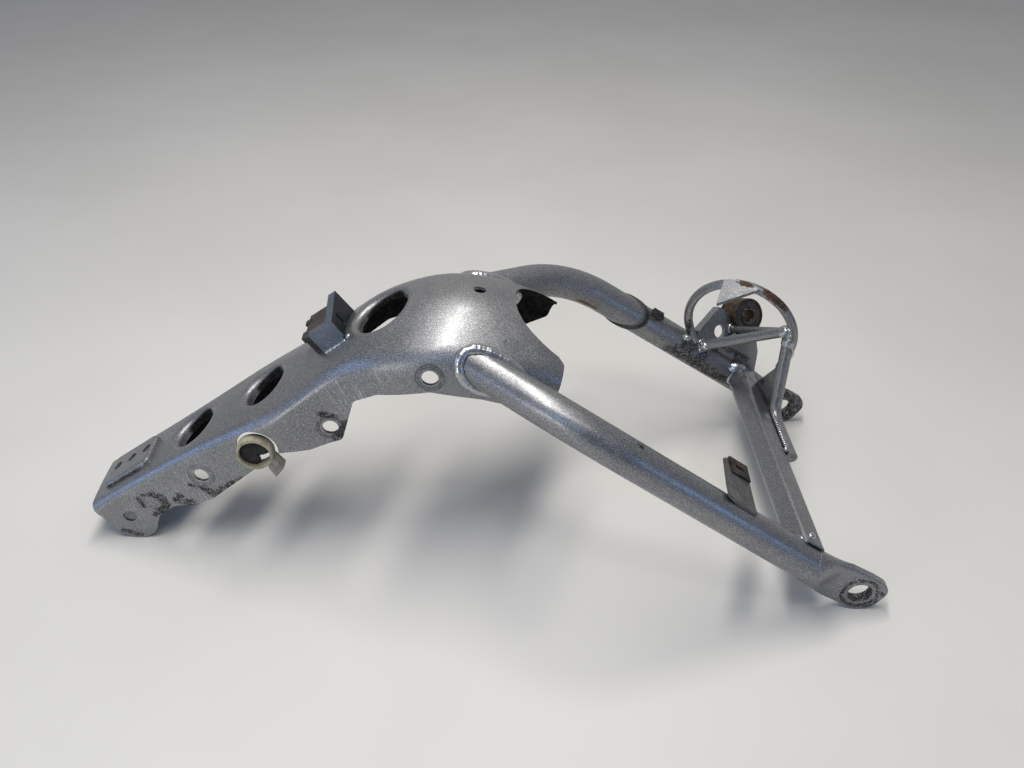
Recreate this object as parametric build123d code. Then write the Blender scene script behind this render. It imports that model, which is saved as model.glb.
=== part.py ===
from build123d import *
import math
import os

os.makedirs("parts", exist_ok=True)

# Sizes that drive the whole part, in mm
sheet = 2.6
plate = 4.0
tube_d = 28.0
tube_wall = 2.0
bolt_hole_d = 12.5
front_hole_x, front_hole_z = 1.5, 24.7

# Pressed shell: the top runs up a straight slope into a dome
slope = 33.8
top_at_zero = 55.4
shell_front = -46.0
skirt = 74.0
lip_radius = 6.0
lip_depth = 10.0
station_pitch = 26.5
# the inner skin is set in square to the slope up to here, straight down beyond
slope_end_x = 240.0
# half width at the walls, extra height over the slope, crown radius, shoulder radius
stations = [
    (32.5, 0, 500, 9), (32.8, 0, 500, 9), (33, -0.3, 500, 9), (34, -0.8, 400, 9),
    (35.8, -1.3, 320, 9), (39.5, -1.5, 240, 10), (44.5, -1.5, 180, 11), (47.5, -1.8, 145, 12.5),
    (44.5, -1.5, 130, 13), (43.5, 1.5, 110, 15), (53, 3.5, 92, 20), (59.5, -2.2, 87, 24),
    (61.8, -14.2, 85, 26), (62, -33.5, 85, 26), (61, -58.9, 88, 24), (59, -90.2, 95, 20),
    (57, -125.4, 105, 18),
]

# Lightening holes on the centre line: x, diameter, tilt of the rim plane
light_holes = [(59.4, 36.5, 33.8), (123.2, 37.5, 33.8), (222.0, 43.5, 31.0)]
small_hole_x, small_hole_d = 299.2, 9.4

# Bolt holes through both walls: x, z, diameter
wall_holes = [
    (front_hole_x, front_hole_z, 11.6), (71.4, 73.2, bolt_hole_d),
    (182.4, 125.6, bolt_hole_d), (263.0, 183.9, bolt_hole_d),
]

# Side view of the shell: front edge, pivot lug, lower edge up to the tail (x, z)
front_edge = (-30.5, 36.5)
lug_arc = [(-16, 15.2), (3.5, 0), (23.5, 18.5)]
lower_edge = [
    (27, 26), (42, 37.5), (60, 39.5), (78, 49.5), (138, 104), (165, 105), (190.5, 113.5),
    (203, 153), (222, 164.5), (262, 171.5), (300, 165), (335, 154), (354, 163), (362, 186),
]
lower_radius = 7.0
tail_end = (362, 330)

# Hollow of the tail seen from above, half of it (x, y)
notch = [(326, 0), (329, 19), (336.5, 30), (348, 38), (357, 41), (363, 47)]

# Raised pad at the tip
pad_x0, pad_x1, pad_half, pad_rise, pad_corner = -20.0, 23.0, 18.5, 4.0, 6.0
pad_edge_r, pad_inner_edge_r = 2.9, 1.2
pad_hole_d = 8.5
pad_holes = [-11.0, 3.0, 17.0]
pad_hole_y = 2.0

# Tube centre line, right hand side
tube_start = (285.0, 43.9, 191.3)
tube_corner = (370.6, 109.9, 172.6)
tube_foot = (597.0, 124.0, 14.0)
tube_bend = 122.7

# Flattened tube ends: distance from flat_from, width, thickness, squareness, shift inwards, drop
flat_from = 544.0
flat_steps = [
    (0, 28.3, 28.3, 2, 0, 0), (9, 29.5, 25.5, 2.1, 0.6, 0.4), (18, 31.5, 18.5, 2.5, 2.4, 1.4),
    (27, 33.5, 11.5, 4, 4.2, 2.4), (36, 35.6, 8.4, 9, 5, 1.9),
]
bore_end = 29.0
foot_hole_x, foot_hole_d = 590.5, 18.5
foot_tip, foot_half, foot_thick, foot_edge_r, foot_top_r = 19.5, 17.6, 8.0, 1.4, 11.0
foot_step = 0.2

# Square cross tube
cross_x, cross_z, cross_side, cross_r, cross_wall, cross_turn = 543.0, 60.5, 20.0, 4.0, 2.0, 34.0

# Round bars of the guard on the right hand tube
strut_d, ring_d, brace_d, arm_d = 10.5, 8.0, 9.0, 6.0
strut_run = [(560.3, -9, 59.7), (560.3, 51, 59.7), (566, 68, 125)]
strut_bend = 14.0
ring_centre = (527.4, 87.9, 129.3)
ring_right = (0.874, -0.425, -0.234)
ring_up = (0.136, -0.25, 0.96)
ring_r, ring_arc_end, ring_leg = 47.3, 231.0, 24.0
brace_run = [(499.5, 107.4, 97.5), (563.6, 67.4, 138)]
arm_ring_angle = 27.0
gusset = [(560.3, 51, 59.7), (552.5, 96, 59), (564.8, 62, 110)]
gusset_t = 3.0

# Stand plate on the right hand tube
stand_at, stand_normal, stand_x = (496.8, 106, 102.5), (0.42, -0.80, 0.43), (0.885, 0.465, 0)
stand_outline = [(30.4, 25.4), (48.9, 8), (45.6, -8.6), (9.5, -11), (-1.5, -11), (2.5, 9.8)]
stand_hole, stand_hole_d = (25.9, 3.2), 12.0
stand_flange = 9.0
boss_at, boss_d, boss_h = (41.2, 1.3), 8.0, 6.0
bush_front, bush_len = 7.0, 22.0
bush_d, bush_shell_t, bush_sleeve_d, bush_bore_d = 33.0, 1.8, 16.0, 12.4
rubber_inset, sleeve_stand = 0.8, 1.0
# bearing of the bush from the boss, and how far the boss's centre stands off its skin
bush_bearing, bush_stand_off = math.radians(31), 1.0
bush_reach = bush_d / 2 + bush_stand_off
bush_at = (boss_at[0] + bush_reach * math.cos(bush_bearing), boss_at[1] + bush_reach * math.sin(bush_bearing))
lower_plate_y = 118.0
lower_plate = [(519, 78), (519, 92), (534, 104), (553, 101), (557.5, 84), (557.5, 48)]
top_plate_at, top_plate_normal = (507.0, 87.5, 177.3), (-0.354, -0.425, 0.833)
top_plate_x = (0.865, -0.488, 0.119)
top_plate = [(-0.3, 1.5), (10.7, 3.5), (19.7, 2), (28.7, -2), (30.2, -4.5), (-0.5, -23)]

# Bent tab on the left hand tube: outline from the bend line, folded strip
tab_x, tab_t, tab_rise = 489.5, 2.5, 15.7
tab_face = [(0, -3), (0, 46), (-18.5, 46), (-15, -3)]
tab_strip = [(-15, -3), (-18.5, 46), (-23.5, 44), (-28, 12), (-29, -3)]
tab_fold = 12.0
nut_x, nut_w, nut_y0, nut_y1, nut_t = -9.0, 18.0, 31.0, 49.0, 1.4
nut_slot_l, nut_slot_w = 9.0, 4.0

# Strap on the right hand tube
strap_x, strap_w, strap_t = 428.0, 3.2, 1.4
strap_lean = (0.705, 0.613, -0.355)
strap_head_x, strap_head_turn = 449.0, 18.0
strap_head_box, strap_tail_box = (11, 7, 5), (6, 4, 2)

# Clip at the notch in the near wall
clip_at, clip_r, clip_wall, clip_y0, clip_y1 = (122.2, 105.5), 14.5, 2.5, -51.0, -42.5
clip_notch, clip_notch_r = (124, 107.5), 16.5
latch = [(131.5, 93.5), (136.5, 83.5), (143.5, 92.5), (135.5, 104.5)]

# Bracket on the top of the shell
top_bracket_at = (178, 0, 173.4)
top_bracket_l, top_bracket_h, top_bracket_y, top_bracket_t = 23.0, 17.7, -10.0, 2.0
top_flange, foot_flange = 7.0, 6.0
side_plate = [(-10, -4), (-10, 17.7), (30, 22), (32, -9)]
side_slot_l, side_slot_w, side_slot_at = 12.0, 4.0, (4.0, 10.0)
hood_l, hood_w, hood_t = 7.0, 40.0, 2.0

# Connector held in that bracket: centre and size of the body, its socket and its ribs
connector_body = ((7, 9, 7), (25.5, 34, 19))
connector_socket = ((-3, 9, 11), (6, 26, 6))
connector_ribs = [((-8, 3, 12.5), (6, 9, 5)), ((-6, 17, 15), (5, 6, 4))]

# The row's origin: axis of the front bore, halfway between the walls
to_origin = Pos(-front_hole_x, 0, -front_hole_z)


def biggest(shape):
    return max(shape.solids(), key=lambda s: s.volume)


def unit(v):
    return Vector(*v).normalized()


def frame_at(origin, x_dir, z_dir):
    return Plane(origin=Vector(*origin), x_dir=Vector(*x_dir), z_dir=Vector(*z_dir))


def slope_top(x):
    return top_at_zero + x * math.tan(math.radians(slope))


def section(x, half, top_z, crown, shoulder, depth):
    # crown arc, shoulder arc tangent to it and to the wall
    cz = top_z - crown
    gap = crown - shoulder
    sx = half - shoulder
    sz = cz + math.sqrt(gap * gap - sx * sx)
    k = crown / gap
    ty, tz = sx * k, cz + (sz - cz) * k
    a = (math.atan2(sz - cz, sx)) / 2
    my, mz = sx + shoulder * math.cos(a), sz + shoulder * math.sin(a)
    low = top_z - depth

    def p(y, z):
        return (x, y, z)

    edges = [
        Line(p(-half, low), p(-half, sz)),
        ThreePointArc(p(-half, sz), p(-my, mz), p(-ty, tz)),
        ThreePointArc(p(-ty, tz), p(0, top_z), p(ty, tz)),
        ThreePointArc(p(ty, tz), p(my, mz), p(half, sz)),
        Line(p(half, sz), p(half, low)),
        Line(p(half, low), p(-half, low)),
    ]
    return Face(Wire(edges))


def shell_block(inset):
    drop = inset / math.cos(math.radians(slope))
    faces = []
    for i, (half, extra, crown, shoulder) in enumerate(stations):
        x = shell_front + i * station_pitch
        z = slope_top(x) + extra
        d = drop if x < slope_end_x else inset
        faces.append(section(x, half - inset, z - d, crown - inset, shoulder - inset, skirt + inset * 3))
    return loft(faces)


def rim_axis(x, tilt, z):
    t = math.radians(tilt)
    return frame_at((x, 0, z), (math.cos(t), 0, math.sin(t)), (-math.sin(t), 0, math.cos(t)))


def rim_height(x):
    k = (x - shell_front) / station_pitch
    i = int(k)
    a, b = stations[i][1], stations[i + 1][1]
    return slope_top(x) + a + (b - a) * (k - i)


def rim_edges(solid, plane, r):
    found = []
    for e in solid.edges():
        pts = [plane.to_local_coords(e @ t) for t in (0, 0.2, 0.45, 0.7, 1)]
        if all(abs(math.hypot(q.X, q.Y) - r) < 0.05 and q.Z > 2 - lip_depth for q in pts):
            found.append(e)
    return found


def post(plane, r, low):
    return plane * Pos(0, 0, low) * Cylinder(r, 60, align=(Align.CENTER, Align.CENTER, Align.MIN))


def rolled_holes(outer, inner):
    for x, d, tilt in light_holes:
        axis = rim_axis(x, tilt, rim_height(x))
        outer -= post(axis, d / 2, -30)
        outer = fillet(rim_edges(outer, axis, d / 2), lip_radius)
        inner -= post(axis, d / 2 + sheet, -lip_depth)
        inner = fillet(rim_edges(inner, axis, d / 2 + sheet), lip_radius - sheet)
    return outer, inner


def side_outline():
    t = math.radians(slope)
    fx, fz = front_edge
    start = (fx - 40 * math.sin(t), fz + 40 * math.cos(t))
    a = Polyline(start, front_edge, lug_arc[0])
    b = ThreePointArc(*lug_arc)
    c = FilletPolyline(lug_arc[2], *lower_edge, radius=lower_radius)
    d = Polyline(lower_edge[-1], tail_end, (start[0], tail_end[1]), start)
    return Plane.XZ * make_face(Curve() + [a, b, c, d])


def tail_notch():
    a = Spline(*notch[:-1], tangents=((0, 1), (1, 0.25)))
    b = Line(notch[-2], notch[-1])
    c = Polyline(notch[-1], (400, notch[-1][1]), (400, 0), notch[0])
    half = make_face(Curve() + [a, b, c])
    body = extrude(Pos(0, 0, 100) * half, 200)
    return body + mirror(body, Plane.XZ)


def pad_block(inset, edge):
    t = math.radians(slope)
    mid, rise = (pad_x0 + pad_x1) / 2, pad_rise - inset
    high = slope_top(mid) + stations[2][1]
    top = frame_at((mid, 0, high), (math.cos(t), 0, math.sin(t)), (-math.sin(t), 0, math.cos(t)))
    long, wide = (pad_x1 - pad_x0 - 2 * inset) / math.cos(t), 2 * (pad_half - inset)
    body = top * extrude(Pos(0, 0, -8) * RectangleRounded(long, wide, pad_corner - inset), 8 + rise)
    rim = [e for e in body.edges() if top.to_local_coords(e.center()).Z > rise - 0.01]
    return fillet(rim, edge)


def front_shell():
    outer = shell_block(0) + pad_block(0, pad_edge_r)
    inner = shell_block(sheet) + pad_block(sheet, pad_inner_edge_r)
    outer, inner = rolled_holes(outer, inner)
    shell = outer - inner
    shell &= extrude(side_outline(), 150, both=True)
    shell -= tail_notch()
    for x, z, d in wall_holes:
        shell -= Pos(x, 0, z) * Rot(X=90) * Cylinder(d / 2, 300)
    for x in pad_holes:
        axis = rim_axis(x, slope, slope_top(x))
        shell -= axis * Pos(0, pad_hole_y, 0) * Cylinder(pad_hole_d / 2, 30)
    shell -= Pos(small_hole_x, 0, 230) * Cylinder(small_hole_d / 2, 100)
    cx, cz = clip_notch
    shell -= Pos(cx, (clip_y0 + clip_y1) / 2, cz) * Rot(X=90) * Cylinder(clip_notch_r, 20)
    return outer, biggest(shell)


def tube_line():
    a, b, c = Vector(*tube_start), Vector(*tube_corner), Vector(*tube_foot)
    return bend_line([a, b, c + (c - b).normalized() * 30], tube_bend)


def bend_line(points, r):
    # two straight runs joined by a tangent arc
    a, b, c = [Vector(*tuple(p)) for p in points]
    u, w = (a - b).normalized(), (c - b).normalized()
    turn = math.pi - math.acos(max(-1, min(1, u.dot(w))))
    t = r * math.tan(turn / 2)
    p, q = b + u * t, b + w * t
    mid = b + (u + w).normalized() * (r / math.cos(turn / 2) - r)
    return Wire([Line(a, p), ThreePointArc(p, mid, q), Line(q, c)])


def bar(path, d):
    start = Plane(origin=path @ 0, z_dir=path % 0)
    return sweep(start * Circle(d / 2), path=path)


def run(a, b, d):
    return bar(Wire([Line(Vector(*tuple(a)), Vector(*tuple(b)))]), d)


def leg_frame(x, side):
    # frame on the straight leg: local x along it, z up, y across
    rise = [f - c for f, c in zip(tube_foot, tube_corner)]
    b = unit((rise[0], side * rise[1], rise[2]))
    k = (x - tube_corner[0]) / rise[0]
    at = [c + k * r for c, r in zip(tube_corner, rise)]
    y = Vector(0, 0, 1).cross(b).normalized()
    return Plane(origin=(at[0], side * at[1], at[2]), x_dir=b, z_dir=b.cross(y))


def pressed_section(base, step, inset):
    # closed curve between an ellipse and a flat bar, standing across the leg
    s, w, t, n, shift, drop = step
    at = Plane(origin=base.from_local_coords(Vector(s, 0, 0)), x_dir=base.z_dir, z_dir=base.x_dir)
    a, b = w / 2 - inset, t / 2 - inset
    points = []
    for k in range(24):
        c, d = math.cos(k * math.pi / 12), math.sin(k * math.pi / 12)
        x, y = abs(c) ** (2 / n) * a, abs(d) ** (2 / n) * b
        points.append((math.copysign(x, c) - drop, math.copysign(y, d) + shift))
    return at * make_face(Curve() + [Spline(*points, periodic=True)])


def flat_end(inset):
    # the round tube pressed flat: its width stands up, its thickness lies across
    base = leg_frame(flat_from, 1)
    steps = [f for f in flat_steps if not inset or f[0] < bore_end]
    return loft([pressed_section(base, f, inset) for f in steps])


def foot_plate():
    at = leg_frame(foot_hole_x, 1)
    s0, wide, _, _, shift, drop = flat_steps[-1]
    back = s0 - (foot_hole_x - flat_from) / at.x_dir.X
    lean_x, lean_z = -at.x_dir.Z, at.z_dir.Z
    # the corner radius that lets the tip just touch the table
    r = (foot_tip * lean_x + foot_half * lean_z - at.origin.Z) / (lean_x + lean_z - 1)
    top, low = wide / 2 - foot_step - drop, foot_step - wide / 2 - drop
    corners = [
        (back, top), (0, foot_half), (foot_tip, foot_half),
        (foot_tip, -foot_half), (0, -foot_half), (back, low),
    ]
    shape = make_face(Polyline(*corners, close=True))
    low_tip = [v for v in shape.vertices() if v.X > foot_tip - 0.01 and v.Y < 0]
    shape = fillet(low_tip, r)
    top_tip = [v for v in shape.vertices() if v.X > foot_tip - 0.01 and v.Y > foot_half - 0.01]
    shape = fillet(top_tip, foot_top_r)
    mid = at.from_local_coords(Vector(0, -shift, 0))
    across = Plane(origin=mid, x_dir=at.x_dir, z_dir=-at.y_dir)
    body = across * extrude(shape, foot_thick / 2, both=True)
    rim = []
    for e in body.edges():
        q = across.to_local_coords(e.center())
        if abs(abs(q.Z) - foot_thick / 2) < 0.01 and q.X > back + 0.1:
            rim.append(e)
    return fillet(rim, foot_edge_r), across


def right_leg():
    path = tube_line()
    cut = Plane(origin=leg_frame(flat_from, 1).origin, z_dir=leg_frame(flat_from, 1).x_dir)
    beyond = cut * Pos(0, 0, 100) * Box(200, 200, 200)
    round_part = bar(path, tube_d) - beyond
    bore = bar(path, tube_d - 2 * tube_wall) - beyond
    foot, across = foot_plate()
    outer = round_part + flat_end(0) + foot
    hole = across * Cylinder(foot_hole_d / 2, 60)
    outer -= hole
    return outer, outer - bore - flat_end(tube_wall)


def cross_bar(side, r):
    # square bar along the cross tube's line, reaching into both legs
    t = math.radians(cross_turn)
    end = frame_at((cross_x, 0, cross_z), (math.cos(t), 0, -math.sin(t)), (0, -1, 0))
    return end * extrude(RectangleRounded(side, side, r), tube_foot[1] - 5, both=True)


def cross_tube(legs):
    body = cross_bar(cross_side, cross_r)
    body -= cross_bar(cross_side - 2 * cross_wall, cross_r - cross_wall)
    for leg in legs:
        body -= leg
    return biggest(body)


def ring_point(angle):
    a = math.radians(angle)
    c, e, f = Vector(*ring_centre), Vector(*ring_right), Vector(*ring_up)
    return c + (e * math.cos(a) + f * math.sin(a)) * ring_r


def ring_guard():
    down = unit(ring_up) * -ring_leg
    arc = ThreePointArc(ring_point(ring_arc_end), ring_point(ring_arc_end / 2), ring_point(0))
    leg = Line(ring_point(0), ring_point(0) + down)
    return bar(Wire([arc, leg]), ring_d)


def slab(points, thick, plane):
    return plane * extrude(make_face(Polyline(*points, close=True)), thick)


def gusset_web():
    a, b, c = [Vector(*p) for p in gusset]
    n = (b - a).cross(c - a).normalized()
    face = make_face(Polyline(a, b, c, close=True))
    return extrude(face, gusset_t / 2, dir=n, both=True)


def stand_frame(depth=0.0):
    f = frame_at(stand_at, stand_x, stand_normal)
    return Plane(origin=f.origin + f.z_dir * depth, x_dir=f.x_dir, z_dir=f.z_dir)


def stand_plate():
    body = slab(stand_outline, plate, stand_frame(-plate))
    a, b = stand_outline[0], stand_outline[-1]
    edge = math.hypot(a[0] - b[0], a[1] - b[1])
    ux, uy = (a[0] - b[0]) / edge, (a[1] - b[1]) / edge
    strip = [b, a, (a[0] + uy * 3, a[1] - ux * 3), (b[0] + uy * 3, b[1] - ux * 3)]
    body += slab(strip, stand_flange, stand_frame(-stand_flange))
    return body - stand_frame() * Pos(*stand_hole, 0) * Cylinder(stand_hole_d / 2, 40)


def bush_part(d, bore, extra):
    ring = Circle(d / 2) - Circle(bore / 2)
    f = stand_frame(bush_front - bush_len - extra)
    return f * Pos(*bush_at, 0) * extrude(ring, bush_len + 2 * extra)


def lower_web():
    face = Plane(origin=(0, lower_plate_y + plate / 2, 0), x_dir=(1, 0, 0), z_dir=(0, -1, 0))
    return slab(lower_plate, plate, face)


def tab_parts():
    base = leg_frame(tab_x, -1)
    top = Plane(origin=base.origin + base.z_dir * (tab_rise - tab_t), x_dir=base.x_dir, z_dir=base.z_dir)
    face = slab(tab_face, tab_t, top)
    strip = slab(tab_strip, tab_t, Plane.XY)
    x0, x1 = tab_face[3][0], tab_face[2][0]
    lean = math.degrees(math.atan2(x0 - x1, tab_face[2][1] - tab_face[3][1]))
    line = Pos(x0, tab_face[3][1], 0) * Rot(Z=lean)
    strip = top * line * Rot(Y=tab_fold) * Rot(Z=-lean) * Pos(-x0, -tab_face[3][1], 0) * strip
    body = face + strip
    nut_y = (nut_y0 + nut_y1) / 2
    nut = Pos(nut_x, nut_y, tab_t / 2) * Box(nut_w, nut_y1 - nut_y0, tab_t + 2 * nut_t)
    nut = top * nut - body
    slot = top * Pos(nut_x, nut_y, 0) * extrude(SlotOverall(nut_slot_l, nut_slot_w), 12, both=True)
    return body - slot, biggest(nut - slot)


def strap(tube):
    # a thin loop drawn tight at a slant round the tube
    f = leg_frame(strap_x, 1)
    band = f * Rot(Y=90) * (Cylinder(tube_d / 2 + strap_t, 120) - Cylinder(tube_d / 2, 120))
    band &= f * Plane(origin=(0, 0, 0), z_dir=strap_lean) * Box(200, 200, strap_w)
    at = leg_frame(strap_head_x, 1) * Rot(X=strap_head_turn)
    head = at * Pos(0, 0, tube_d / 2 + 1.5) * Box(*strap_head_box)
    head += at * Pos(1, 0, tube_d / 2 + 4) * Box(*strap_tail_box)
    return biggest(band), head - tube


def hose_clip():
    x, z = clip_at
    mid, wide = (clip_y0 + clip_y1) / 2, clip_y1 - clip_y0
    ring = Pos(x, mid, z) * Rot(X=90) * (Cylinder(clip_r, wide) - Cylinder(clip_r - clip_wall, wide))
    block = slab(latch, wide + 1, Plane(origin=(0, clip_y1, 0), x_dir=(1, 0, 0), z_dir=(0, -1, 0)))
    return ring, block - Pos(x, mid, z) * Rot(X=90) * Cylinder(clip_r, wide + 10)


def top_bracket():
    t = math.radians(slope)
    f = frame_at(top_bracket_at, (math.cos(t), 0, math.sin(t)), (-math.sin(t), 0, math.cos(t)))
    y, l, h, s = top_bracket_y, top_bracket_l, top_bracket_h, top_bracket_t
    near = Pos(l / 2, y + s / 2, h / 2 - 2) * Box(l, s, h + 4)
    top = Pos(l / 2, y + top_flange / 2, h - s / 2) * Box(l, top_flange, s)
    foot = Pos(l / 2 + 1, y - foot_flange / 2 + s, 1) * Box(l - 2, foot_flange, 5)
    right = slab(side_plate, s, Plane(origin=(l - s, 0, 0), x_dir=(0, 1, 0), z_dir=(1, 0, 0)))
    slot = Pos(l, *side_slot_at) * Rot(Y=90) * extrude(SlotOverall(side_slot_l, side_slot_w), 8, both=True)
    (low_y, low_z), (high_y, high_z) = side_plate[1:3]
    lean = math.degrees(math.atan2(high_z - low_z, high_y - low_y))
    hood = Pos(l - hood_l / 2, hood_w / 2, 0) * Box(hood_l, hood_w, hood_t)
    hood = Pos(0, y, h - hood_t / 2) * Rot(X=lean) * hood
    return f * (near + top + foot + right + hood - slot), f


def connector(f):
    def block(at, size):
        return Pos(*at) * Box(*size)

    body = block(*connector_body) - block(*connector_socket)
    for rib in connector_ribs:
        body += block(*rib)
    return f * body


def save(name, *solids):
    # a lone solid is saved as one, several as a group
    moved = [to_origin * s for s in solids]
    shape = moved[0] if len(moved) == 1 else Compound(children=moved)
    export_step(shape, "parts/" + name + ".step")


outer, shell = front_shell()
leg_outer, leg = right_leg()
leg = biggest(leg - outer)
left_outer, left = mirror(leg_outer, Plane.XZ), mirror(leg, Plane.XZ)
cross = cross_tube([leg_outer, left_outer])
cross_solid = cross_bar(cross_side, cross_r)

ring = biggest(ring_guard() - leg_outer)
strut = biggest(bar(bend_line(strut_run, strut_bend), strut_d) - ring - cross_solid)
web = biggest(gusset_web() - strut - cross_solid - ring - leg_outer)

bush_all = bush_part(bush_d, 0.01, 0)
stand = biggest(stand_plate() - leg_outer - bush_all - ring)
brace = biggest(run(*brace_run, brace_d) - ring - leg_outer - stand)
boss = stand_frame() * Pos(*boss_at, 0) * extrude(Circle(boss_d / 2), boss_h)
boss = biggest(boss - bush_all)
boss_end = stand_frame(boss_h / 2).from_local_coords(Vector(*boss_at, 0))
arm = biggest(run(boss_end, ring_point(arm_ring_angle), arm_d) - boss - ring - brace - bush_all)
lower = biggest(lower_web() - leg_outer - cross_solid - stand - bush_all - boss - arm)
top = slab(top_plate, plate, frame_at(top_plate_at, top_plate_x, top_plate_normal).offset(-plate))
top = biggest(top - ring)
bush_shell = bush_part(bush_d, bush_d - 2 * bush_shell_t, 0)
bush_rubber = bush_part(bush_d - 2 * bush_shell_t, bush_sleeve_d, -rubber_inset)
bush_sleeve = bush_part(bush_sleeve_d, bush_bore_d, sleeve_stand)

tab, nut = tab_parts()
tab = biggest(tab - left_outer)
band, head = strap(leg_outer)
head = biggest(head - band)
clip, clip_latch = hose_clip()
clip = biggest(clip - shell)
bracket, bracket_frame = top_bracket()
bracket = biggest(bracket - outer)
plug = biggest(connector(bracket_frame) - outer - bracket)

save("front_shell", shell)
save("right_tube", leg)
save("left_tube", left)
save("cross_tube", cross)
save("ring_guard", ring)
save("strut_rod", strut)
save("ring_brace", brace)
save("gusset_web", web)
save("stand_plate", stand)
save("arm_boss", boss)
save("arm_rod", arm)
save("stand_lower_plate", lower)
save("stand_top_plate", top)
save("bush_shell", bush_shell)
save("bush_rubber", bush_rubber)
save("bush_sleeve", bush_sleeve)
save("tab_bracket", tab)
save("clip_nut", nut)
save("strap_band", band)
save("strap_head", head)
save("hose_clip", clip)
save("hose_clip_latch", clip_latch)
save("top_bracket", bracket)
save("connector_clip", plug)
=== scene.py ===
import math

import bmesh
import bpy
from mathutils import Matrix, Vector, noise
from mathutils.bvhtree import BVHTree


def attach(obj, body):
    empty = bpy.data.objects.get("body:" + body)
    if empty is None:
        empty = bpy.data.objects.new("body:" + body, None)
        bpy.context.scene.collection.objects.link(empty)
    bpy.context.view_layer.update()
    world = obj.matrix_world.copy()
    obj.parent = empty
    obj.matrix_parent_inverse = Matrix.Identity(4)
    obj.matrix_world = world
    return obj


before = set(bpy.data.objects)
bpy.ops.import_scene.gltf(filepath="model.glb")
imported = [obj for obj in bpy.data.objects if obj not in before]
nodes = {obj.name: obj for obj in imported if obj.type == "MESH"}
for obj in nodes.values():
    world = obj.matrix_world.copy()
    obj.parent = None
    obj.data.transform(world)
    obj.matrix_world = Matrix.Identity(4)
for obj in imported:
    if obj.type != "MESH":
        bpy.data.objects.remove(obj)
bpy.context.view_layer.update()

MM = 0.001
# Positions are given in mm as in the part's source: x runs from the shell's tip to the tubes' feet, y from
# the left hand side to the right with 0 in the middle, and z up from the table. The row's origin is the
# middle of the front bore.
FRONT_BORE = Vector((1.5, 0, 24.7))
FLOOR_Z = -0.0247

TUBE_RADIUS = 14.0
STRUT_RADIUS = 5.25
BRACE_RADIUS = 4.5
LEFT, RIGHT = (-1, "left"), (1, "right")


def at(x, y, z):
    return (Vector((x, y, z)) - FRONT_BORE) * MM


# Node materials, all in the row's frame

COAT_ROUGHNESS = 0.2


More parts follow.
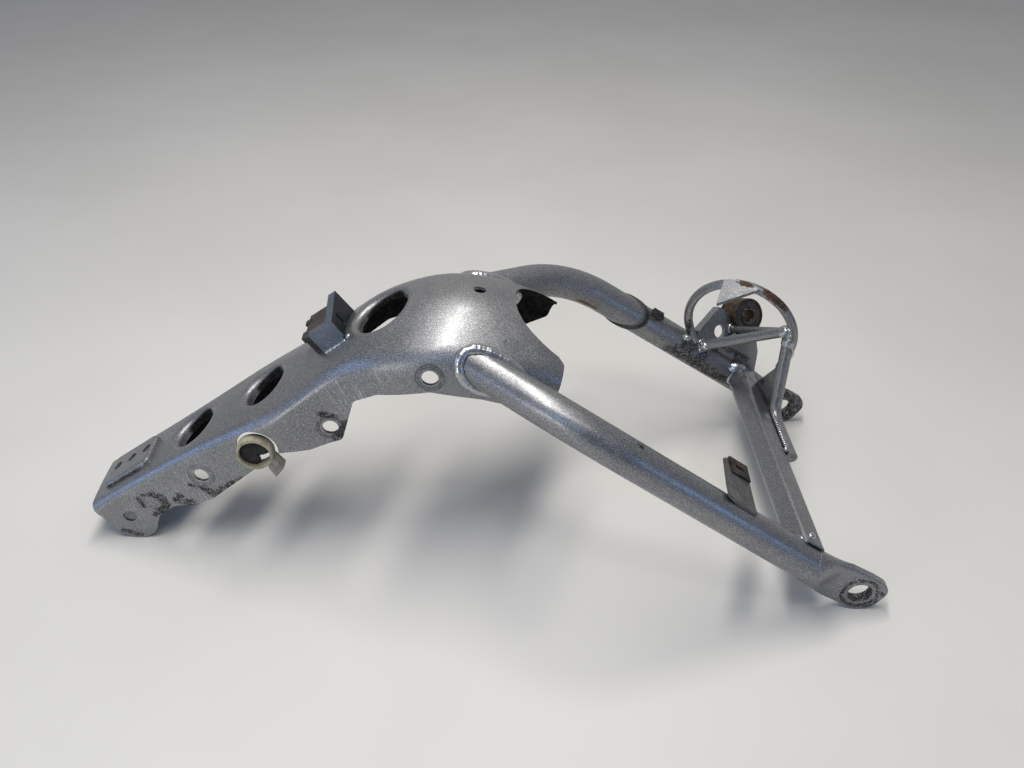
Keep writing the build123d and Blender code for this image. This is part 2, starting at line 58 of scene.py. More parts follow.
class Nodes:
    def __init__(self, name):
        self.mat = bpy.data.materials.new(name)
        self.mat.use_nodes = True
        self.tree = self.mat.node_tree
        self.shader = self.tree.nodes["Principled BSDF"]
        self.place = self.add("ShaderNodeTexCoord").outputs["Object"]
        self.facing = self.add("ShaderNodeNewGeometry").outputs["Normal"]

    def put(self, socket, value):
        if isinstance(value, bpy.types.NodeSocket):
            self.tree.links.new(value, socket)
        elif value is not None:
            socket.default_value = value

    def add(self, kind, *inputs, **props):
        node = self.tree.nodes.new(kind)
        for key, value in props.items():
            setattr(node, key, value)
        for socket, value in zip(node.inputs, inputs):
            self.put(socket, value)
        return node

    def math(self, op, a, b=None, clamp=False):
        return self.add("ShaderNodeMath", a, b, operation=op, use_clamp=clamp).outputs[0]

    def times(self, a, b):
        return self.math("MULTIPLY", a, b)

    def vec(self, op, a, b=None):
        node = self.add("ShaderNodeVectorMath", a, b, operation=op)
        scalar = op in ("DISTANCE", "DOT_PRODUCT")
        return node.outputs["Value" if scalar else "Vector"]

    def band(self, value, low, high, to_low=0.0, to_high=1.0):
        # smooth step from to_low at low to to_high at high
        limits = (low, high, to_low, to_high)
        return self.add("ShaderNodeMapRange", value, *limits, interpolation_type="SMOOTHSTEP").outputs[0]

    def noise(self, scale, detail, rough, stretch=None, turn=None):
        # turn is about y and comes before the stretch
        where = self.place
        if turn:
            where = self.add("ShaderNodeVectorRotate", where, (0, 0, 0), (0, 1, 0), turn).outputs[0]
        if stretch:
            where = self.vec("MULTIPLY", where, stretch)
        node = self.add("ShaderNodeTexNoise", where)
        self.put(node.inputs["Scale"], scale)
        self.put(node.inputs["Detail"], detail)
        self.put(node.inputs["Roughness"], rough)
        return node.outputs[0]

    def mix(self, fac, a, b):
        # colours; 6, 7 and 2 are the colour sockets of the Mix node
        node = self.add("ShaderNodeMix", data_type="RGBA")
        for i, value in ((0, fac), (6, a), (7, b)):
            self.put(node.inputs[i], value + (1,) if isinstance(value, tuple) else value)
        return node.outputs[2]

    def blend(self, fac, a, b):
        # plain numbers
        node = self.add("ShaderNodeMix", data_type="FLOAT")
        for i, value in ((0, fac), (2, a), (3, b)):
            self.put(node.inputs[i], value)
        return node.outputs[0]

    def most(self, values):
        out = values[0]
        for v in values[1:]:
            out = self.math("MAXIMUM", out, v)
        return out

    def spot(self, centre, inner, outer):
        # 1 within inner mm of the centre, 0 beyond outer mm
        return self.band(self.vec("DISTANCE", self.place, tuple(centre)), outer * MM, inner * MM)

    def line(self, a, b, inner, outer):
        # 1 within inner mm of the straight from a to b, 0 beyond outer mm
        d = b - a
        rel = self.vec("SUBTRACT", self.place, tuple(a))
        part_way = self.vec("DOT_PRODUCT", rel, tuple(d / d.length_squared))
        along = self.math("MULTIPLY", part_way, 1.0, clamp=True)
        scale = self.add("ShaderNodeVectorMath", tuple(d), operation="SCALE")
        self.put(scale.inputs["Scale"], along)
        return self.band(self.vec("DISTANCE", rel, scale.outputs[0]), outer * MM, inner * MM)

    def ring(self, centre, radius, width, soft=0.35):
        # a thin ring round a hole in a side wall; mm
        where = self.vec("MULTIPLY", self.place, (1, 0, 1))
        d = self.vec("DISTANCE", where, (centre[0], 0, centre[2]))
        off = self.math("ABSOLUTE", self.math("SUBTRACT", d, radius * MM))
        return self.band(off, (width / 2 + soft) * MM, (width / 2) * MM)

    def shelter(self, reach):
        # 0 in the open, 1 deep in a corner
        node = self.add("ShaderNodeAmbientOcclusion", samples=6)
        self.put(node.inputs["Distance"], reach)
        return self.math("SUBTRACT", 1.0, node.outputs["AO"])

    def finish(self, color, metal, rough, bumps, soften=0.0005, coat=0.0, specular=0.5):
        # bumps are (height, strength, distance); soften is the radius that rounds sharp edges
        s = self.shader
        self.put(s.inputs["Base Color"], color)
        self.put(s.inputs["Metallic"], metal)
        self.put(s.inputs["Roughness"], rough)
        self.put(s.inputs["Coat Weight"], coat)
        s.inputs["Coat Roughness"].default_value = COAT_ROUGHNESS
        s.inputs["Specular IOR Level"].default_value = specular
        normal = None
        if soften:
            bevel = self.add("ShaderNodeBevel", samples=4)
            bevel.inputs["Radius"].default_value = soften
            normal = bevel.outputs[0]
        for height, strength, distance in bumps:
            bump = self.add("ShaderNodeBump")
            bump.inputs["Strength"].default_value = strength
            bump.inputs["Distance"].default_value = distance
            self.put(bump.inputs["Height"], height)
            self.put(bump.inputs["Normal"], normal)
            normal = bump.outputs[0]
        self.put(s.inputs["Normal"], normal)
        return self.mat


# Silver paint

PAINT = (0.165, 0.168, 0.177), (0.21, 0.213, 0.22)
FLAKE_LIGHT, FLAKE_DARK = (0.68, 0.68, 0.69), (0.07, 0.072, 0.08)
# painted highlight: a pale silver that makes the weld beads read as glinting
WELD_SHEEN_TONE = (0.62, 0.63, 0.65)
RUBBED = (0.74, 0.75, 0.76)
WASHER_PRINT = (0.045, 0.047, 0.055)
# painted shade for the shell's inside faces, near black
INSIDE_SHADE_TONES = (0.003, 0.003, 0.003), (0.026, 0.024, 0.021)
# dirt and painted shade in corners and creases
DIRT_AND_SHADE_TONE = (0.05, 0.045, 0.04)
SCUFF = (0.12, 0.115, 0.105)
RUST = (0.045, 0.02, 0.012), (0.19, 0.095, 0.05)
CHIP = (0.008, 0.008, 0.010), (0.05, 0.043, 0.04)
PAINT_COAT = 0.4

LOWER_HOLE = at(71.4, 0, 73.2)
MIDDLE_HOLE = at(182.4, 0, 125.6)
UPPER_HOLE = at(263.0, 0, 183.9)
BOLT_HOLES = (LOWER_HOLE, MIDDLE_HOLE, UPPER_HOLE)


def rub_marks(n, side):
    # fine slanting marks, in patches
    streaks = n.noise(1.0, 4, 0.65, stretch=(900, 30, 34), turn=math.radians(24))
    patches = n.band(n.noise(26, 3, 0.5), 0.42, 0.62)
    return n.times(n.times(n.band(streaks, 0.52, 0.72), side), patches)


def washer_prints(n, side):
    outer = [n.ring(hole, 10.7, 0.7) for hole in BOLT_HOLES]
    inner = [n.ring(hole, 8.7, 0.5) for hole in BOLT_HOLES]
    thin = n.times(n.most(outer + inner), n.band(n.noise(300, 4, 0.6), 0.38, 0.52, 0.25, 1.0))
    wide = n.most([n.ring(UPPER_HOLE, 9.0, 3.0), n.ring(MIDDLE_HOLE, 9.4, 1.4)])
    wide = n.times(wide, n.band(n.noise(420, 5, 0.7), 0.4, 0.6, 0.15, 0.8))
    return n.times(n.most([thin, wide]), side)


def shell_inside(n):
    # faces that look down, or towards the centre line and not up; the shell's painted shade goes on these
    look = n.add("ShaderNodeSeparateXYZ", n.facing).outputs
    place = n.add("ShaderNodeSeparateXYZ", n.place).outputs
    inward = n.times(n.times(look[1], place[1]), -1.0)
    inward = n.times(n.band(inward, 0.003, 0.009), n.band(look[2], 0.8, 0.45))
    return n.most([inward, n.band(look[2], -0.15, -0.35)])


def scuffed(n, marks):
    near = n.most([n.line(a, b, r * 0.3, r) for a, b, r in marks])
    score = n.noise(1.0, 5, 0.7, stretch=(260, 420, 800), turn=math.radians(-35))
    return n.times(near, n.band(score, 0.47, 0.6))


def rusted(n, marks):
    near = n.most([n.line(a, b, r * 0.35, r) for a, b, r in marks])
    return n.band(n.math("ADD", n.noise(210, 5, 0.65), n.times(near, 0.42)), 0.76, 0.8)


def chipped(n, marks, rings):
    # coarse patches broken up by fine grains, thickest along the marks
    near = n.most([n.line(a, b, r * 0.4, r * 1.6) for a, b, r in marks] + [n.ring(*ring) for ring in rings])
    grains = n.times(n.noise(1000, 4, 0.7), 0.85)
    lost = n.math("ADD", grains, n.times(n.noise(240, 4, 0.65), 0.45))
    lost = n.math("ADD", lost, n.times(near, 0.205))
    return n.times(n.band(lost, 0.8, 0.84), n.band(near, 0.05, 0.3))


def silver(name, chips=(), rings=(), rust=(), scuffs=(), painted_sheen=0.0, shell=False, grime_and_corner_shade=0.35, rough=0.36):
    # chips, rust and scuffs are lists of (from, to, radius in mm); rings are chips round a hole
    n = Nodes(name)
    flake = n.noise(1500, 2, 0.6)
    cloud = n.noise(14, 4, 0.55)
    grain = n.noise(420, 4, 0.6)
    color = n.mix(n.band(cloud, 0.3, 0.7), *PAINT)
    color = n.mix(n.band(flake, 0.45, 0.72, 0.0, 0.6), color, FLAKE_LIGHT)
    color = n.mix(n.band(flake, 0.46, 0.28, 0.0, 0.5), color, FLAKE_DARK)
    # painted highlight: the colour is mixed towards a pale silver
    if painted_sheen:
        color = n.mix(painted_sheen, color, WELD_SHEEN_TONE)
    roughness = n.band(n.noise(60, 4, 0.6), 0.3, 0.7, rough - 0.05, rough + 0.07)
    metal = n.band(cloud, 0.3, 0.7, 0.84, 0.92)
    coat = PAINT_COAT
    bumps = [(flake, 0.06, 0.0003), (n.noise(90, 3, 0.5), 0.05, 0.0008)]

    if shell:
        side = n.band(n.math("ABSOLUTE", n.vec("DOT_PRODUCT", n.facing, (0, 1, 0))), 0.75, 0.95)
        color = n.mix(n.times(rub_marks(n, side), 0.5), color, RUBBED)
        roughness = n.blend(side, roughness, 0.5)
        prints = washer_prints(n, side)
        color = n.mix(n.times(prints, 0.8), color, WASHER_PRINT)
        metal = n.blend(prints, metal, 0.3)

        # painted shade: the inside of the shell is painted near black and dull
        deep = shell_inside(n)
        painted_inside_shade = n.mix(n.band(n.noise(240, 5, 0.7), 0.4, 0.7), *INSIDE_SHADE_TONES)
        color = n.mix(deep, color, painted_inside_shade)
        metal = n.blend(deep, metal, 0.0)
        roughness = n.blend(deep, roughness, 0.95)
        coat = n.blend(deep, coat, 0.0)
        bumps.append((n.times(n.noise(330, 5, 0.7), deep), 0.5, 0.0012))

    # corners and creases are darkened: partly dirt, partly painted shade
    dirt_and_corner_shade = n.times(n.band(n.shelter(0.007), 0.35, 0.9), n.band(grain, 0.35, 0.6))
    color = n.mix(n.times(dirt_and_corner_shade, grime_and_corner_shade), color, DIRT_AND_SHADE_TONE)

    if scuffs:
        worn = scuffed(n, scuffs)
        color = n.mix(n.times(worn, 0.6), color, SCUFF)
        roughness = n.blend(worn, roughness, 0.6)
    if rust:
        eaten = rusted(n, rust)
        tone = n.mix(n.band(n.noise(600, 4, 0.7), 0.35, 0.65), *RUST)
        color = n.mix(eaten, color, tone)
        metal = n.blend(eaten, metal, 0.0)
        roughness = n.blend(eaten, roughness, 0.8)
        bumps.append((n.times(eaten, -1.0), 0.5, 0.0003))

    # paint is gone in small specks everywhere, and in the chips
    bare = n.times(n.band(n.noise(520, 2, 0.5), 0.735, 0.75), n.band(n.noise(95, 3, 0.6), 0.5, 0.6))
    if chips or rings:
        bare = n.most([bare, chipped(n, chips, rings)])
    tone = n.mix(n.band(n.noise(900, 3, 0.6), 0.4, 0.6), *CHIP)
    color = n.mix(bare, color, tone)
    metal = n.blend(bare, metal, 0.0)
    roughness = n.blend(bare, roughness, 0.62)
    coat = n.blend(bare, coat, 0.0)
    bumps.append((n.times(bare, -1.0), 0.5, 0.00025))
    return n.finish(color, metal, roughness, bumps, coat=coat, specular=0.2)


shell_paint = silver(
    "silver_shell", shell=True, rough=0.44, grime_and_corner_shade=0.2,
    chips=[
        # ragged ring behind the front bore
        (at(18, -33, 48.5), at(26, -33.5, 50.5), 2.4), (at(26, -33.5, 50.5), at(33, -34, 46), 3.6),
        (at(33, -34, 46), at(35, -34, 38), 4.2), (at(35, -34, 38), at(30, -33.5, 30), 5),
        (at(27, -33.5, 33), at(24, -33, 27), 3), (at(13, -33, 46), at(16, -33, 36), 2.2),
        # clusters from there to the hose clip, and the lug's lower edge
        (at(46, -35, 44), at(58, -35, 41), 4.6), (at(48, -35, 51), at(50, -35, 48), 2.4),
        (at(60, -35.5, 62), at(70, -36.5, 59), 2.2), (at(72, -37, 59), at(79, -38, 53.5), 4.4),
        (at(84, -38, 56), at(104, -40, 72.5), 4.8), (at(-8, -32, 9), at(6, -32, 3), 2.8),
        # flank of the pad, and round the middle bolt hole
        (at(-16, -19.5, 45.5), at(14, -19.5, 65), 1.8), (at(186, -42, 114), at(196, -44, 130), 5),
        (at(176, -42, 139), at(188, -42, 136), 3),
    ],
    scuffs=[(at(14, -33, 40), at(28, -33.5, 42), 9), (at(-20, -18.5, 46), at(22, -18, 72), 6)])
left_paint = silver(
    "silver_left_tube", rough=0.4,
    rings=[(at(590.8, 0, 18.5), 13.8, 1.4, 2.6), (at(590.8, 0, 18.5), 9.0, 0.8, 1.2)],
    chips=[
        (at(598, -122, 2), at(606, -123, 8), 3), (at(604, -123, 22), at(608, -123, 18), 2.2),
        (at(470, -116, 108), at(473, -110, 110), 3.4), (at(409, -113, 162.5), at(411, -113, 161), 2.6),
    ])
right_paint = silver(
    "silver_right_tube", grime_and_corner_shade=0.6, rough=0.46,
    chips=[
        # between the strap and the square tube
        (at(474, 103, 96), at(479, 103, 93), 5), (at(485, 104, 100), at(491, 105, 96), 5.5),
        (at(500, 106, 91), at(505, 106, 86), 6), (at(495, 104, 85), at(500, 104, 79), 6),
        (at(506, 106, 72), at(512, 106, 66), 5.5), (at(524, 106, 61), at(536, 107, 52), 5.5),
        (at(470, 104, 98), at(520, 106, 62), 7), (at(448, 108, 133), at(456, 107, 127), 4),
        # the foot, and the back of the tube above it
        (at(586, 118, 26), at(608, 118, 4), 22), (at(520, 112, 92), at(548, 118, 76), 4),
    ],
    rust=[(at(380, 98, 158), at(402, 98, 140), 4)],
    scuffs=[(at(350, 80, 172), at(398, 98, 148), 9), (at(430, 104, 118), at(480, 104, 86), 12)])
plate_paint = silver(
    "silver_plate", grime_and_corner_shade=0.5, rough=0.56, rust=[(at(521, 80, 180), at(532, 74, 178), 5)],
    chips=[(at(522, 79, 179), at(532, 74, 178), 3)])
ring_paint = silver(
    "silver_ring", grime_and_corner_shade=0.5, rough=0.38,
    rust=[(at(540, 70, 176), at(557, 64, 164), 6)],
    chips=[(at(487, 108, 110), at(486, 108, 124), 3), (at(540, 70, 177), at(556, 64, 165), 3)])
guard_paint = silver("silver_guard", grime_and_corner_shade=0.7, rough=0.4, chips=[
    (at(556, -4, 66), at(556, 36, 66), 2.6), (at(554, 80, 74), at(556, 88, 72), 4),
    (at(540, 92, 70), at(552, 92, 62), 4)])
weld_paint = silver("silver_weld", grime_and_corner_shade=0.6, rough=0.24, painted_sheen=0.45)


# Plastics, rubber and the darker metals

# dust and painted shade in sheltered corners
CORNER_DUST_AND_SHADE_TONE = (0.03, 0.026, 0.02)
LABEL = (0.24, 0.2, 0.13)
SHADED = (0.022, 0.027, 0.037)
LIGHT_RUST = (0.17, 0.085, 0.04)


def moulded(name, dark, light, rough, dust=(0.2, 0.18, 0.15), dusty=0.3, label=None):
    n = Nodes(name)
    tone = n.mix(n.band(n.noise(120, 5, 0.65), 0.35, 0.65), dark, light)
    fine = n.noise(900, 4, 0.6)
    tone = n.mix(n.times(n.band(n.noise(380, 5, 0.7), 0.5, 0.7), dusty), tone, dust)
    if label:
        # a paler sheet that shows in one place
        tone = n.mix(n.spot(label, 8, 9), tone, LABEL)
    # sheltered corners are darkened: partly dust, partly painted shade
    dust_and_corner_shade = n.band(n.shelter(0.006), 0.3, 0.8)
    tone = n.mix(n.times(dust_and_corner_shade, 0.75), tone, CORNER_DUST_AND_SHADE_TONE)
    roughness = n.band(fine, 0.3, 0.7, rough - 0.07, rough + 0.1)
    bumps = [(fine, 0.25, 0.0003), (n.noise(150, 3, 0.5), 0.2, 0.0008)]
    return n.finish(tone, 0.0, roughness, bumps, soften=0.0004)


def dark_metal(name, dark, light, rust_amount, rough, metal=0.7, edge=(0.6, 0.62, 0.65), wear=0.5,
               shaded=None):
    n = Nodes(name)
    tone = n.mix(n.band(n.noise(110, 5, 0.6), 0.35, 0.65), dark, light)
    worn = n.band(n.noise(260, 5, 0.7), 0.54, 0.66)
    tone = n.mix(n.times(worn, wear), tone, edge)
    if shaded:
        # painted shade: faces turned this way are darker and duller
        tone = n.mix(n.band(n.vec("DOT_PRODUCT", n.facing, shaded), 0.6, 0.9), tone, SHADED)
    brown = n.times(n.band(n.noise(170, 5, 0.7), 0.48, 0.62), rust_amount)
    tone = n.mix(brown, tone, LIGHT_RUST)
    scratch = n.noise(1.0, 4, 0.6, stretch=(1500, 200, 90), turn=0.7)
    metallic = n.blend(brown, metal, 0.0)
    roughness = n.band(scratch, 0.35, 0.65, rough - 0.08, rough + 0.12)
    bumps = [(n.noise(500, 5, 0.7), 0.2, 0.0004), (scratch, 0.08, 0.0003)]
    return n.finish(tone, metallic, roughness, bumps, soften=0.0007)


strap_black = moulded("strap_black", (0.006, 0.006, 0.007), (0.018, 0.018, 0.019), 0.42, dusty=0.15)
finishes = {
    "front_shell": shell_paint,
    "left_tube": left_paint,
    "right_tube": right_paint,
    "cross_tube": guard_paint,
    "ring_guard": ring_paint,
    "strut_rod": guard_paint,
    "ring_brace": guard_paint,
    "gusset_web": guard_paint,
    "stand_plate": ring_paint,
    "arm_boss": guard_paint,
    "arm_rod": guard_paint,
    "stand_lower_plate": right_paint,
    "stand_top_plate": plate_paint,
    "bush_shell": dark_metal(
        "bush_rusty", (0.012, 0.01, 0.008), (0.045, 0.03, 0.018), 0.3, 0.5, 0.5, (0.26, 0.17, 0.07), 0.5),
    "bush_rubber": moulded(
        "bush_rubber_black", (0.009, 0.009, 0.009), (0.028, 0.027, 0.026), 0.55, dusty=0.25),
    "bush_sleeve": dark_metal("sleeve_rusty", (0.025, 0.02, 0.016), (0.09, 0.075, 0.06), 0.5, 0.42),
    "tab_bracket": dark_metal(
        "tab_dark_grey", (0.1, 0.102, 0.105), (0.15, 0.152, 0.155), 0.1, 0.42, wear=0.1),
    "clip_nut": dark_metal(
        "nut_brown_black", (0.012, 0.010, 0.009), (0.05, 0.04, 0.032), 0.25, 0.5, 0.5, (0.16, 0.13, 0.1)),
    "strap_band": strap_black,
    "strap_head": strap_black,
    "hose_clip": moulded(
        "clip_ivory", (0.27, 0.24, 0.16), (0.46, 0.42, 0.31), 0.62, (0.14, 0.11, 0.07), 0.7),
    "hose_clip_latch": moulded(
        "latch_grey", (0.17, 0.16, 0.13), (0.3, 0.28, 0.24), 0.5, (0.1, 0.085, 0.065), 0.6),
    "top_bracket": dark_metal(
        "bracket_blue_grey", (0.13, 0.16, 0.2), (0.17, 0.2, 0.25), 0.05, 0.3, 0.9, (0.4, 0.44, 0.5), 0.12,
        shaded=(0.831, 0, 0.556)),
    "connector_clip": moulded(
        "plug_black", (0.012, 0.010, 0.009), (0.04, 0.034, 0.028), 0.5, (0.2, 0.15, 0.1), 0.35,
        label=at(189, 4, 192.8)),
}
for node, material in finishes.items():
    nodes[node].data.materials.clear()
    nodes[node].data.materials.append(material)


# Pieces of the scene alone: weld beads, swept with a rippled section along points that are given or found on
# the CAD surfaces by rays, rounded blobs of weld, and a dark sheet of painted shade in the hose clip's loop

BEAD_STEP = 0.45
BEAD_SIDES = 12
RING_SAMPLES = 120
RAY_REACH = 60.0
RAY_CLEARANCE = 0.15


def surface(*names):
    verts, faces = [], []
    for name in names:
        mesh = nodes[name].data
        base = len(verts)
        verts += [v.co.copy() for v in mesh.vertices]
        faces += [[base + i for i in p.vertices] for p in mesh.polygons]
    return BVHTree.FromPolygons(verts, faces)


def piece(name, verts, faces, material):
    mesh = bpy.data.meshes.new(name)
    mesh.from_pydata([tuple(v) for v in verts], [], faces)
    mesh.validate()
    mesh.polygons.foreach_set("use_smooth", [True] * len(mesh.polygons))
    mesh.materials.append(material)
    obj = bpy.data.objects.new(name, mesh)
    bpy.context.scene.collection.objects.link(obj)
    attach(obj, "root")
    return obj


def resample(points, step, closed):
    pts = points + [points[0]] if closed else points
    lengths = [0.0]
    for a, b in zip(pts, pts[1:]):
        lengths.append(lengths[-1] + (b - a).length)
    count = max(4, round(lengths[-1] / step))
    out, j = [], 0
    for i in range(count if closed else count + 1):
        s = lengths[-1] * i / count
        while j < len(pts) - 2 and lengths[j + 1] < s:
            j += 1
        span = lengths[j + 1] - lengths[j] or 1.0
        out.append(pts[j].lerp(pts[j + 1], (s - lengths[j]) / span))
    return out


def smoothed(points, rounds, closed):
    for _ in range(rounds):
        last = len(points) - 1
        points = [
            p if not closed and i in (0, last)
            else (points[i - 1] + p * 2 + points[(i + 1) % len(points)]) / 4
            for i, p in enumerate(points)
        ]
    return points


def bead(name, points, radius, closed=False, pitch=2.3, ripple=0.1):
    # a row of overlapping scallops along the points, which taper away at open ends; mm
    step, r = BEAD_STEP * MM, radius * MM
    line = smoothed(resample(points, step, closed), 6, closed)
    count = len(line)
    verts, faces = [], []
    side = None
    for i, p in enumerate(line):
        before = line[i - 1] if closed or i else p
        after = line[(i + 1) % count] if closed or i < count - 1 else p
        along = (after - before).normalized()
        side = along.orthogonal() if side is None else side - along * side.dot(along)
        side.normalize()
        other = along.cross(side)
        scallop = 1 - ripple + ripple * math.sqrt(abs(math.sin(math.pi * i * BEAD_STEP / pitch)))
        wander = 1 + 0.13 * noise.noise(p * 160) + 0.05 * noise.noise(p * 600)
        end = 1.0
        if not closed:
            from_end = max(0.0, min(i, count - 1 - i) * step / (r * 1.2))
            end = min(1.0, math.sqrt(from_end) + 0.05)
        w = r * scallop * wander * end
        for k in range(BEAD_SIDES):
            t = 2 * math.pi * k / BEAD_SIDES
            verts.append(p + (side * math.cos(t) + other * math.sin(t)) * w)
    for i in range(count if closed else count - 1):
        a, b = i * BEAD_SIDES, ((i + 1) % count) * BEAD_SIDES
        for k in range(BEAD_SIDES):
            m = (k + 1) % BEAD_SIDES
            faces.append((a + k, b + k, b + m, a + m))
    if not closed:
        faces.append(tuple(range(BEAD_SIDES)))
        faces.append(tuple((count - 1) * BEAD_SIDES + k for k in reversed(range(BEAD_SIDES))))
    return piece(name, verts, faces, weld_paint)


def lump(name, centre, radius, stretch=(1, 1, 1)):
    # rounded blob of weld metal
    bm = bmesh.new()
    bmesh.ops.create_icosphere(bm, subdivisions=4, radius=radius * MM)
    for v in bm.verts:
        v.co *= 1 + 0.1 * noise.noise(v.co * 260 + centre * 40)
        v.co = centre + v.co * Vector(stretch)
    verts = [v.co.copy() for v in bm.verts]
    faces = [[v.index for v in f.verts] for f in bm.faces]
    bm.free()
    return piece(name, verts, faces, weld_paint)


def around(start, toward, radius, target):
    # where the skin of a round bar, followed from start along toward, meets the target
    d = toward.normalized()
    u = d.orthogonal().normalized()
    v = d.cross(u)
    hits = []
    for i in range(RING_SAMPLES):
        t = 2 * math.pi * i / RING_SAMPLES
        off = (u * math.cos(t) + v * math.sin(t)) * (radius + RAY_CLEARANCE) * MM
        hits.append(target.ray_cast(start + off, d, RAY_REACH * MM)[0])
    return hits


def arcs(hits, jump=6.0):
    # unbroken stretches of a ring of hits; the second value says whether the whole ring is one
    n = len(hits)

    def parted(i):
        a, b = hits[i - 1], hits[i]
        return a is None or b is None or (b - a).length > jump * MM

    broken = [i for i in range(n) if parted(i)]
    if not broken:
        return [hits], True
    runs = []
    for j, i in enumerate(broken):
        stop = broken[(j + 1) % len(broken)]
        if stop <= i:
            stop += n
        run = [hits[k % n] for k in range(i, stop) if hits[k % n] is not None]
        if len(run) > 3:
            runs.append(run)
    return runs, False


def bar_weld(name, start, toward, radius, target, size):
    runs, closed = arcs(around(start, toward, radius, target))
    for i, run in enumerate(runs):
        bead(name + "_%d" % i if i else name, run, size, closed=closed)


# where the bent tubes enter the shell's shoulders
shell_skin = surface("front_shell")
for side, word in (LEFT, RIGHT):
    mouth = at(285.0, side * 43.9, 191.3)
    out_dir = (at(370.6, side * 109.9, 172.6) - mouth).normalized()
    runs, closed = arcs(around(mouth + out_dir * 62 * MM, -out_dir, TUBE_RADIUS, shell_skin), 8.0)
    for i, run in enumerate(runs):
        bead(word + "_mouth_weld_%d" % i, run, 4.7, closed=closed, pitch=7, ripple=0.05)

# both ends of the square tube, whose section is turned by this angle
CROSS_TILT = math.radians(34)
CROSS_HALF = 10.15
CROSS_SAMPLES = 96
cross_x = Vector((math.cos(CROSS_TILT), 0, -math.sin(CROSS_TILT)))
cross_z = Vector((math.sin(CROSS_TILT), 0, math.cos(CROSS_TILT)))
for side, word in (LEFT, RIGHT):
    leg = surface(word + "_tube")
    hits = []
    for i in range(CROSS_SAMPLES):
        t = 2 * math.pi * i / CROSS_SAMPLES
        c, s = math.cos(t), math.sin(t)
        k = CROSS_HALF / (abs(c) ** 5 + abs(s) ** 5) ** 0.2
        p = at(543.0, side * 60, 60.5) + (cross_x * c + cross_z * s) * k * MM
        hits.append(leg.ray_cast(p, Vector((0, side, 0)), 80 * MM)[0])
    runs, closed = arcs(hits, 7.0)
    for i, run in enumerate(runs):
        bead(word + "_cross_weld_%d" % i, run, 1.9, closed=closed)

# strut and brace against the ring guard and the stand plate
guard_skin = surface("ring_guard")
strut_dir = at(566, 68, 125) - at(563, 59.2, 92)
bar_weld("strut_ring_weld", at(563, 60, 95), strut_dir, STRUT_RADIUS, guard_skin, 1.7)
brace_a, brace_b = at(499.5, 107.4, 97.5), at(563.6, 67.4, 138)
brace_dir = brace_b - brace_a
bar_weld("brace_ring_weld", brace_a.lerp(brace_b, 0.6), brace_dir, BRACE_RADIUS, guard_skin, 1.7)
foot_skin = surface("stand_plate", "ring_guard")
bar_weld("brace_plate_weld", brace_a.lerp(brace_b, 0.5), -brace_dir, BRACE_RADIUS, foot_skin, 1.5)

# the groove between square tube and strut, blobs on the joints, and the top bracket's foot
seam = [at(556.9, -6, 64.6), at(556.9, 20, 64.9), at(556.9, 46, 64.6)]
bead("strut_seam_weld", seam, 1.9, pitch=2.6, ripple=0.3)
bead("strut_end_weld", [at(554.6, -8, 66.2), at(556.2, -3, 65.6)], 2.6, pitch=5)
lump("brace_lump", at(562.4, 67.6, 137.4), 5.9, (1.25, 1, 1))
lump("strut_lump", at(565.8, 66.9, 127.5), 6.1, (1, 1, 1.1))
lump("brace_foot_lump", at(504, 102.6, 100.4), 4.8, (1.2, 0.9, 0.8))
lump("ring_foot_lump", at(487, 108.5, 106), 4.4, (1.2, 0.9, 0.8))
lump("corner_lump", at(537.5, 109.5, 71.3), 6.2, (1.4, 0.9, 0.8))
lump("cross_lump", at(545.5, -112, 70), 3.6)
bracket_foot = [at(180, -14.6, 175), at(189, -14.6, 181), at(198.6, -14.6, 187.4)]
bead("bracket_foot_weld", bracket_foot, 2.2, pitch=4.4, ripple=0.35)
lump("bracket_corner_lump", at(199.5, -12.5, 188.8), 2.7)
lump("spatter", at(326.4, -56.6, 190.9), 1.2)

# round the boss on the stand plate, in that plate's own frame, and along the tab
plate_at = at(496.8, 106, 102.5)
plate_x = Vector((0.885, 0.465, 0))
plate_z = Vector((0.42, -0.80, 0.43)).normalized()
plate_x.normalize()
plate_y = plate_z.cross(plate_x)
boss_mid = plate_at + (plate_x * 41.2 + plate_y * 1.3) * MM
boss_turns = [2 * math.pi * i / 40 for i in range(40)]
boss_edge = [boss_mid + (plate_x * math.cos(t) + plate_y * math.sin(t)) * 4.7 * MM for t in boss_turns]
bead("boss_weld", boss_edge, 1.5, closed=True, pitch=3, ripple=0.08)
tab_edge = [at(476.5, -112.8, 111.8), at(483, -113.2, 108), at(489.5, -113.6, 104)]
bead("tab_weld", tab_edge, 2.2, pitch=4, ripple=0.15)


def clip_shade_sheet():
    # painted shade: a crumpled dark sheet that fills most of the clip's loop
    centre, radius, spokes, rings = at(122.2, -49, 105.5), 12.2, 48, 6
    gap_turn = math.radians(-38)
    verts, faces = [centre], []
    for k in range(1, rings + 1):
        for i in range(spokes):
            t = 2 * math.pi * i / spokes
            gap = max(0.0, math.cos(t - gap_turn)) ** 6
            r = radius * (1 - 0.62 * gap) * k / rings
            p = centre + Vector((math.cos(t), 0, math.sin(t))) * r * MM
            p.y += (1.6 * noise.noise(p * 420) + 1.2 * (k / rings) ** 2) * MM
            verts.append(p)
    for i in range(spokes):
        m = (i + 1) % spokes
        faces.append((0, 1 + i, 1 + m))
        for k in range(rings - 1):
            a, b = 1 + k * spokes, 1 + (k + 1) * spokes
            faces.append((a + i, b + i, b + m, a + m))
    black = moulded(
        "clip_shade_black", (0.004, 0.004, 0.004), (0.02, 0.018, 0.015), 0.8, (0.09, 0.08, 0.065), 0.4)
    shade_sheet = piece("clip_shade_sheet", verts, faces, black)
    solid = shade_sheet.modifiers.new("thickness", "SOLIDIFY")
    solid.thickness = 1.2 * MM


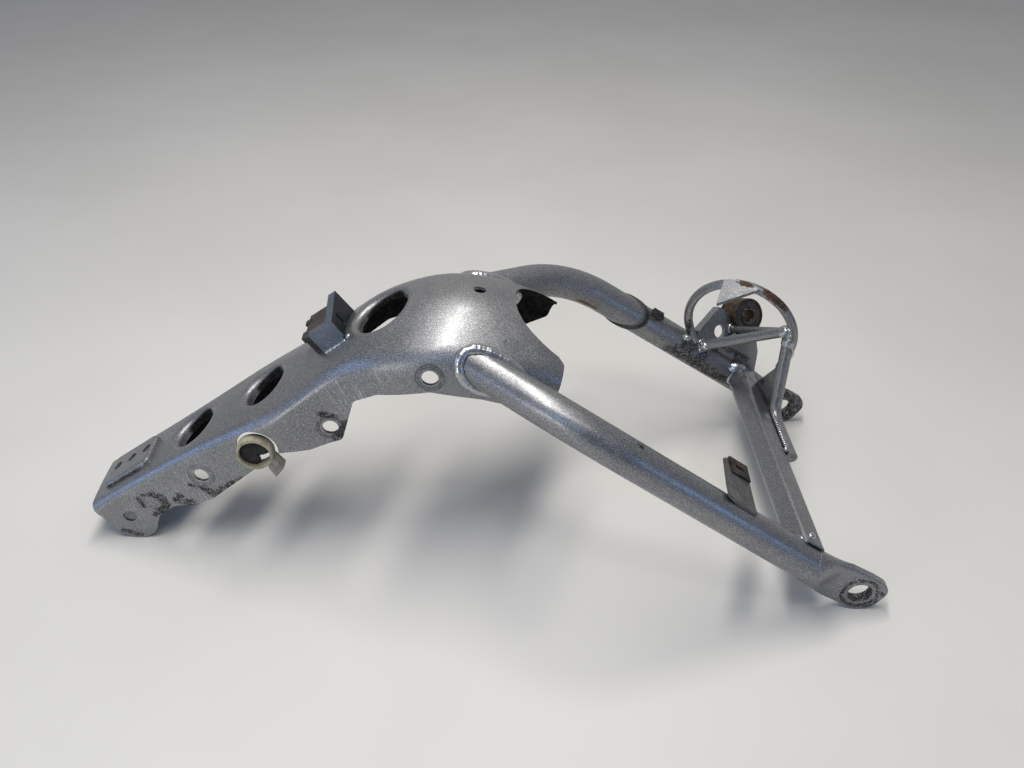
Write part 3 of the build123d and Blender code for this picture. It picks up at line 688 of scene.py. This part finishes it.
clip_shade_sheet()


# Floor

FLOOR_PALE = (0.74, 0.725, 0.69), (0.79, 0.775, 0.745)
floor_nodes = Nodes("floor_pale")
pale = floor_nodes.mix(floor_nodes.band(floor_nodes.noise(3, 3, 0.5), 0.3, 0.7), *FLOOR_PALE)
floor_bumps = [(floor_nodes.noise(220, 3, 0.5), 0.05, 0.0005)]
bpy.ops.mesh.primitive_plane_add(size=9, location=(0.3, 0, FLOOR_Z))
floor = bpy.context.object
floor.name = "floor"
floor.data.materials.append(floor_nodes.finish(pale, 0.0, 0.55, floor_bumps, soften=0))

# Lamps: name, place, width and height, power, colour. They all point at the middle of the object.
LAMP_TARGET = Vector((0.28, 0, 0.08))
WINDOW_BLUE = (0.3, 0.52, 1.0)
LAMPS = [
    ("overhead", (0.22, 0.02, 1.5), (1.3, 0.16), 16, (1.0, 0.97, 0.92)),
    ("overhead_front", (0.25, -0.62, 1.3), (1.0, 0.12), 2.4, (1.0, 0.98, 0.94)),
    ("front_left", (-0.8, -1.4, 0.4), (0.6, 0.5), 4.5, (1.0, 0.99, 0.96)),
    ("window", (-0.15, -1.25, 1.0), (0.35, 0.2), 1.3, (0.33, 0.55, 1.0)),
    ("window_left", (-1.7, -0.45, 0.55), (1.1, 0.6), 5, WINDOW_BLUE),
    ("window_right", (1.7, -1.3, 0.45), (0.6, 0.25), 1.7, WINDOW_BLUE),
]
for name, place, size, power, color in LAMPS:
    lamp = bpy.data.lights.new(name, "AREA")
    lamp.shape = "RECTANGLE"
    lamp.size, lamp.size_y = size
    lamp.energy = power
    lamp.color = color
    holder = bpy.data.objects.new(name, lamp)
    holder.location = place
    holder.rotation_euler = (LAMP_TARGET - Vector(place)).to_track_quat("-Z", "Y").to_euler()
    bpy.context.scene.collection.objects.link(holder)

# Room: dim light, bluish in front of the object and brighter behind it. Camera, glossy and transmission
# rays get the second, paler set of colours.
world = bpy.data.worlds.new("room")
bpy.context.scene.world = world
world.use_nodes = True
room = world.node_tree
coord = room.nodes.new("ShaderNodeTexCoord")
split = room.nodes.new("ShaderNodeSeparateXYZ")
room.links.new(coord.outputs["Generated"], split.inputs[0])
depth = room.nodes.new("ShaderNodeMapRange")
depth.inputs["From Min"].default_value = -1.0
depth.inputs["From Max"].default_value = 1.0
room.links.new(split.outputs["Y"], depth.inputs[0])


def room_colors(front, back, middle=None):
    ramp = room.nodes.new("ShaderNodeValToRGB")
    stops = ramp.color_ramp.elements
    stops[0].color = front + (1,)
    stops[1].color = back + (1,)
    if middle:
        stops.new(0.45).color = middle + (1,)
    room.links.new(depth.outputs[0], ramp.inputs[0])
    return ramp.outputs[0]


light_path = room.nodes.new("ShaderNodeLightPath")
seen = light_path.outputs["Is Camera Ray"]
for kind in ("Is Glossy Ray", "Is Transmission Ray"):
    either = room.nodes.new("ShaderNodeMath")
    either.operation = "MAXIMUM"
    room.links.new(seen, either.inputs[0])
    room.links.new(light_path.outputs[kind], either.inputs[1])
    seen = either.outputs[0]
pick = room.nodes.new("ShaderNodeMix")
pick.data_type = "RGBA"
room.links.new(seen, pick.inputs[0])
room.links.new(room_colors((0.04, 0.065, 0.12), (0.36, 0.36, 0.36), (0.13, 0.135, 0.15)), pick.inputs[6])
room.links.new(room_colors((0.1, 0.13, 0.19), (0.5, 0.5, 0.5)), pick.inputs[7])
background = room.nodes["Background"]
room.links.new(pick.outputs[2], background.inputs["Color"])
background.inputs["Strength"].default_value = 1.0

# Camera, solved from the photograph
camera_data = bpy.data.cameras.new("camera")
camera_data.lens = 32.245
camera_data.sensor_width = 36.0
camera_data.clip_start = 0.01
camera = bpy.data.objects.new("camera", camera_data)
camera.location = (0.31023, -0.59827, 0.54277)
camera.rotation_euler = (math.radians(54.07), 0, math.radians(-1.10))
bpy.context.scene.collection.objects.link(camera)
bpy.context.scene.camera = camera
bpy.context.scene.view_settings.view_transform = "Standard"
